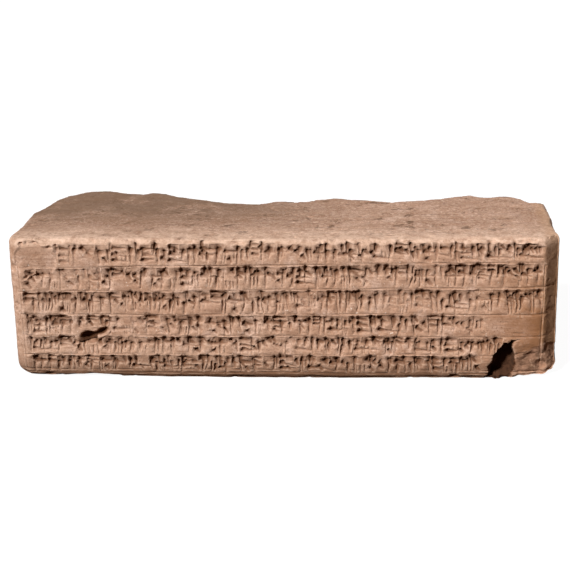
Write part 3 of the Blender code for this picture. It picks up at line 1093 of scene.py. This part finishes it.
def lay_over(tree, spot, clay, where, layers):
    """Lays patterns over a colour, each where a socket says so, or everywhere for 1.0."""
    for squeeze, spacing, detail, roughness, start, end, strength, tint in layers:
        place = spot if squeeze == 1 else streaked(tree, spot, squeeze)
        share = between(tree, cloud(tree, place, spacing, detail, roughness), start, end)
        clay = blend(tree, scale_by(tree, scale_by(tree, share, where), strength), clay, tint)
    return clay


print(len(SKIN_LAYERS), "layers, from", SKIN_LAYERS[0][1], "mm clouds to", SKIN_LAYERS[-2][1], "mm grains")

# %% [markdown]
# ## Where the clay lay and stood
#
# The top was dusted, spotted and pitted, with a painted highlight on the lip at the front, and grime and
# painted shade at the rear.
# The right end is ochre with a pale corner, and the foot is darkened with painted shade.

# %% Layers for the places
TOP_LAYERS = (
    (1, 3.4, 5.0, 0.80, 0.47, 0.64, 0.50, "74523C"),
    (1, 2.4, 5.0, 0.80, 0.49, 0.65, 0.60, "E4CAB6"),
    (1, 13, 6.0, 0.75, 0.57, 0.63, 0.85, "5E4330"),
    (0.4, 26, 6.0, 0.70, 0.46, 0.60, 0.30, "8D6B53"),
)
# Painted highlight on the front band of the top.
LIP_HIGHLIGHT_LAYER = (1, 6, 5.0, 0.75, 0.36, 0.60, 0.66, "DDBFA9")
# Grime and painted shade on the rear of the top.
GRIME_AND_SHADE_LAYER = (1, 30, 5.0, 0.65, 0.24, 0.50, 0.75, "6C5441")
OCHRE_LAYER = (1, 16, 4.0, 0.55, 0.20, 0.55, 0.92, "845A3A")
# Painted shade on the foot of the brick.
FOOT_SHADE_LAYER = (1, 12, 4.0, 0.55, 0.05, 0.42, 1.0, "6B4C37")


def clay_colour(tree, spot):
    """The clay's colour on every side of the brick, with a painted highlight on the lip and painted shade at
    the rear and the foot, but without its core and the soil and painted shade of its hollows.
    """
    x, y, z = add_node(tree, "ShaderNodeSeparateXYZ", None, {0: spot}).outputs
    on_top = between(tree, z, 0.094, 0.099)
    on_lip = scale_by(tree, between(tree, y, FRONT + 0.036, FRONT + 0.004), between(tree, z, 0.092, 0.098))
    at_rear = scale_by(tree, between(tree, y, FRONT + 0.018, FRONT + 0.075), between(tree, x, 0.06, -0.06))
    at_right = scale_by(tree, between(tree, x, 0.125, 0.168), between(tree, z, 0.098, 0.060))
    at_corner = scale_by(tree, between(tree, x, 0.172, 0.180), 0.4)
    clay = blend(tree, between(tree, x, -0.19, 0.19), "B2927D", "BB967E")
    clay = lay_over(tree, spot, clay, 1.0, SKIN_LAYERS)
    clay = lay_over(tree, spot, clay, on_top, TOP_LAYERS)
    # Painted highlight on the lip.
    clay = lay_over(tree, spot, clay, on_lip, [LIP_HIGHLIGHT_LAYER])
    # Grime and painted shade at the rear of the top.
    clay = lay_over(tree, spot, clay, at_rear, [GRIME_AND_SHADE_LAYER])
    clay = lay_over(tree, spot, clay, at_right, [OCHRE_LAYER])
    clay = blend(tree, at_corner, clay, "B8916C")
    # Painted shade on the foot.
    return lay_over(tree, spot, clay, between(tree, z, 0.018, 0.004), [FOOT_SHADE_LAYER])


print(len(TOP_LAYERS), "layers for the top")

# %% [markdown]
# ## The clay material
#
# Over those colours come the raw core, the pale rubbed edges with their painted highlight and, last, the
# soil with painted shade.
# Two bumps give the skin its grit and the drag marks of the board.

# %% The material
CORE_LAYERS = (
    (1, 9, 5.0, 0.70, 0.38, 0.66, 1.0, "72543F"),
    (1, 2.6, 3.0, 0.70, 0.55, 0.72, 1.0, "C09A80"),
)


def unglazed_fired_clay():
    """Low-fired brick clay, formed in a mould: sandy, dusty and matt, so light spreads on it softly."""
    material = bpy.data.materials.new("unglazed_fired_clay")
    material.use_nodes = True
    tree = material.node_tree
    shader = tree.nodes["Principled BSDF"]
    shader.inputs["Roughness"].default_value = 0.93
    shader.inputs["IOR"].default_value = 1.5
    shader.inputs["Specular IOR Level"].default_value = 0.25
    spot = add_node(tree, "ShaderNodeTexCoord").outputs["Object"]
    core = lay_over(tree, spot, "A87F66", 1.0, CORE_LAYERS)
    clay = blend(tree, kept(tree, "raw"), clay_colour(tree, spot), core)
    # Pale rubbed edges, with a painted highlight on them.
    clay = blend(tree, scale_by(tree, kept(tree, "worn_and_highlit"), 0.32), clay, "D6B8A2")
    soil_and_shade = kept(tree, "soil_and_shade")
    # Soil and painted shade darken the strokes; above 1 the colour paints the deep shadow of the pit and the
    # trench.
    clay = blend(tree, soil_and_shade, clay, "56341D")
    clay = blend(tree, between(tree, soil_and_shade, 1.0, 2.0), clay, "2A190E")
    tree.links.new(clay, shader.inputs["Base Color"])

    grain = cloud(tree, spot, 0.9, 3.0, 0.7)
    drag = cloud(tree, streaked(tree, spot, FINE_STREAKS), 1.0, 4.0, 0.6)
    grit = {"Strength": 0.75, "Distance": mm(0.45)}
    marks = {"Strength": 0.75, "Distance": mm(0.50)}
    fine = add_node(tree, "ShaderNodeBump", grit, {"Height": grain}).outputs[0]
    both = add_node(tree, "ShaderNodeBump", marks, {"Height": drag, "Normal": fine}).outputs[0]
    tree.links.new(both, shader.inputs["Normal"])
    return material


brick.data.materials.clear()
brick.data.materials.append(unglazed_fired_clay())
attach(brick, "root")
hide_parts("brick")
print("the brick is dressed in", brick.data.materials[0].name)

# %% [markdown]
# ## The floor
#
# The floor is a sheet of white paper. The camera sees it bright and almost without a shadow,
# but it throws hardly any light up on the brick, which would fill the strokes.

# %% The floor


def white_paper():
    """Matt white paper, lit from behind: bright to the camera, and dark to the brick."""
    material = bpy.data.materials.new("backlit_white_paper")
    material.use_nodes = True
    tree = material.node_tree
    tree.nodes.clear()
    seen = add_node(tree, "ShaderNodeLightPath").outputs["Is Camera Ray"]
    dark = add_node(tree, "ShaderNodeBsdfDiffuse", {"Color": colour("4A3828")}).outputs[0]
    paper = add_node(tree, "ShaderNodeBsdfDiffuse", {"Color": colour("606060")}).outputs[0]
    glow = add_node(tree, "ShaderNodeEmission", {"Strength": 0.95}).outputs[0]
    bright = add_node(tree, "ShaderNodeAddShader", None, {0: paper, 1: glow}).outputs[0]
    both = add_node(tree, "ShaderNodeMixShader", None, {0: seen, 1: dark, 2: bright}).outputs[0]
    add_node(tree, "ShaderNodeOutputMaterial", None, {"Surface": both})
    return material


bpy.ops.mesh.primitive_plane_add(size=16, location=(0, 3, 0))
floor = bpy.context.active_object
floor.name = "floor"
floor.data.materials.append(white_paper())
print("the floor measures", [round(side, 1) for side in floor.dimensions], "m")

# %% [markdown]
# ## The lights
#
# One soft key light from the upper left shows shallow relief best: it has to graze the face,
# or the strokes flatten out. A dim warm sky fills the shadows, and a weak light from behind shows the break.

# %% The lights
KEY_TOWARDS = (-0.44, -0.68, 0.58)
KEY_STRENGTH = 5.6
KEY_SPREAD = 7
BACK_TOWARDS = (0.55, 0.80, 0.10)
BACK_STRENGTH = 2.4
BACK_SPREAD = 30
SKY_STRENGTH = 0.088


def sun(name, towards, strength, spread):
    """A sun whose light comes from the direction of towards, seen from the brick."""
    bpy.ops.object.light_add(type="SUN", location=(0, 0, 1))
    light = bpy.context.active_object
    light.name = name
    light.data.energy = strength
    light.data.angle = math.radians(spread)
    light.rotation_euler = Vector(towards).to_track_quat("Z", "Y").to_euler()
    return light


def studio():
    """A dim even sky for everything but the camera, which sees white behind the floor."""
    world = bpy.data.worlds.new("studio")
    world.use_nodes = True
    tree = world.node_tree
    tree.nodes.clear()
    seen = add_node(tree, "ShaderNodeLightPath").outputs["Is Camera Ray"]
    dim = {"Color": colour("FFBA80"), "Strength": SKY_STRENGTH}
    full = {"Color": colour("FFFFFF"), "Strength": 1.0}
    sky = add_node(tree, "ShaderNodeBackground", dim).outputs[0]
    white = add_node(tree, "ShaderNodeBackground", full).outputs[0]
    both = add_node(tree, "ShaderNodeMixShader", None, {0: seen, 1: sky, 2: white}).outputs[0]
    add_node(tree, "ShaderNodeOutputWorld", None, {"Surface": both})
    return world


sun("key_light", KEY_TOWARDS, KEY_STRENGTH, KEY_SPREAD)
sun("back_light", BACK_TOWARDS, BACK_STRENGTH, BACK_SPREAD)
bpy.context.scene.world = studio()

# %% [markdown]
# ## The camera
#
# A long lens stands a little to the right of the middle and looks down on the brick.
# Its place was worked out from the corners of the written face.

# %% The camera
CAMERA_LENS = 87.09
CAMERA_TURN = math.radians(3.61)
CAMERA_DIP = math.radians(17.425)
CAMERA_ROLL = math.radians(-1.0)
CAMERA_PLACE = Vector((0.0578, FRONT - 0.8785, 0.3440))
camera_data = bpy.data.cameras.new("camera")
camera_data.lens = CAMERA_LENS
camera = bpy.data.objects.new("camera", camera_data)
bpy.context.scene.collection.objects.link(camera)
turned = Matrix.Rotation(CAMERA_TURN, 4, "Z") @ Matrix.Rotation(math.pi / 2 - CAMERA_DIP, 4, "X")
camera.matrix_world = Matrix.Translation(CAMERA_PLACE) @ turned @ Matrix.Rotation(CAMERA_ROLL, 4, "Z")
bpy.context.scene.camera = camera
bpy.context.scene.view_settings.view_transform = "Standard"
print("the camera stands at", [round(side, 3) for side in camera.matrix_world.translation], "m")
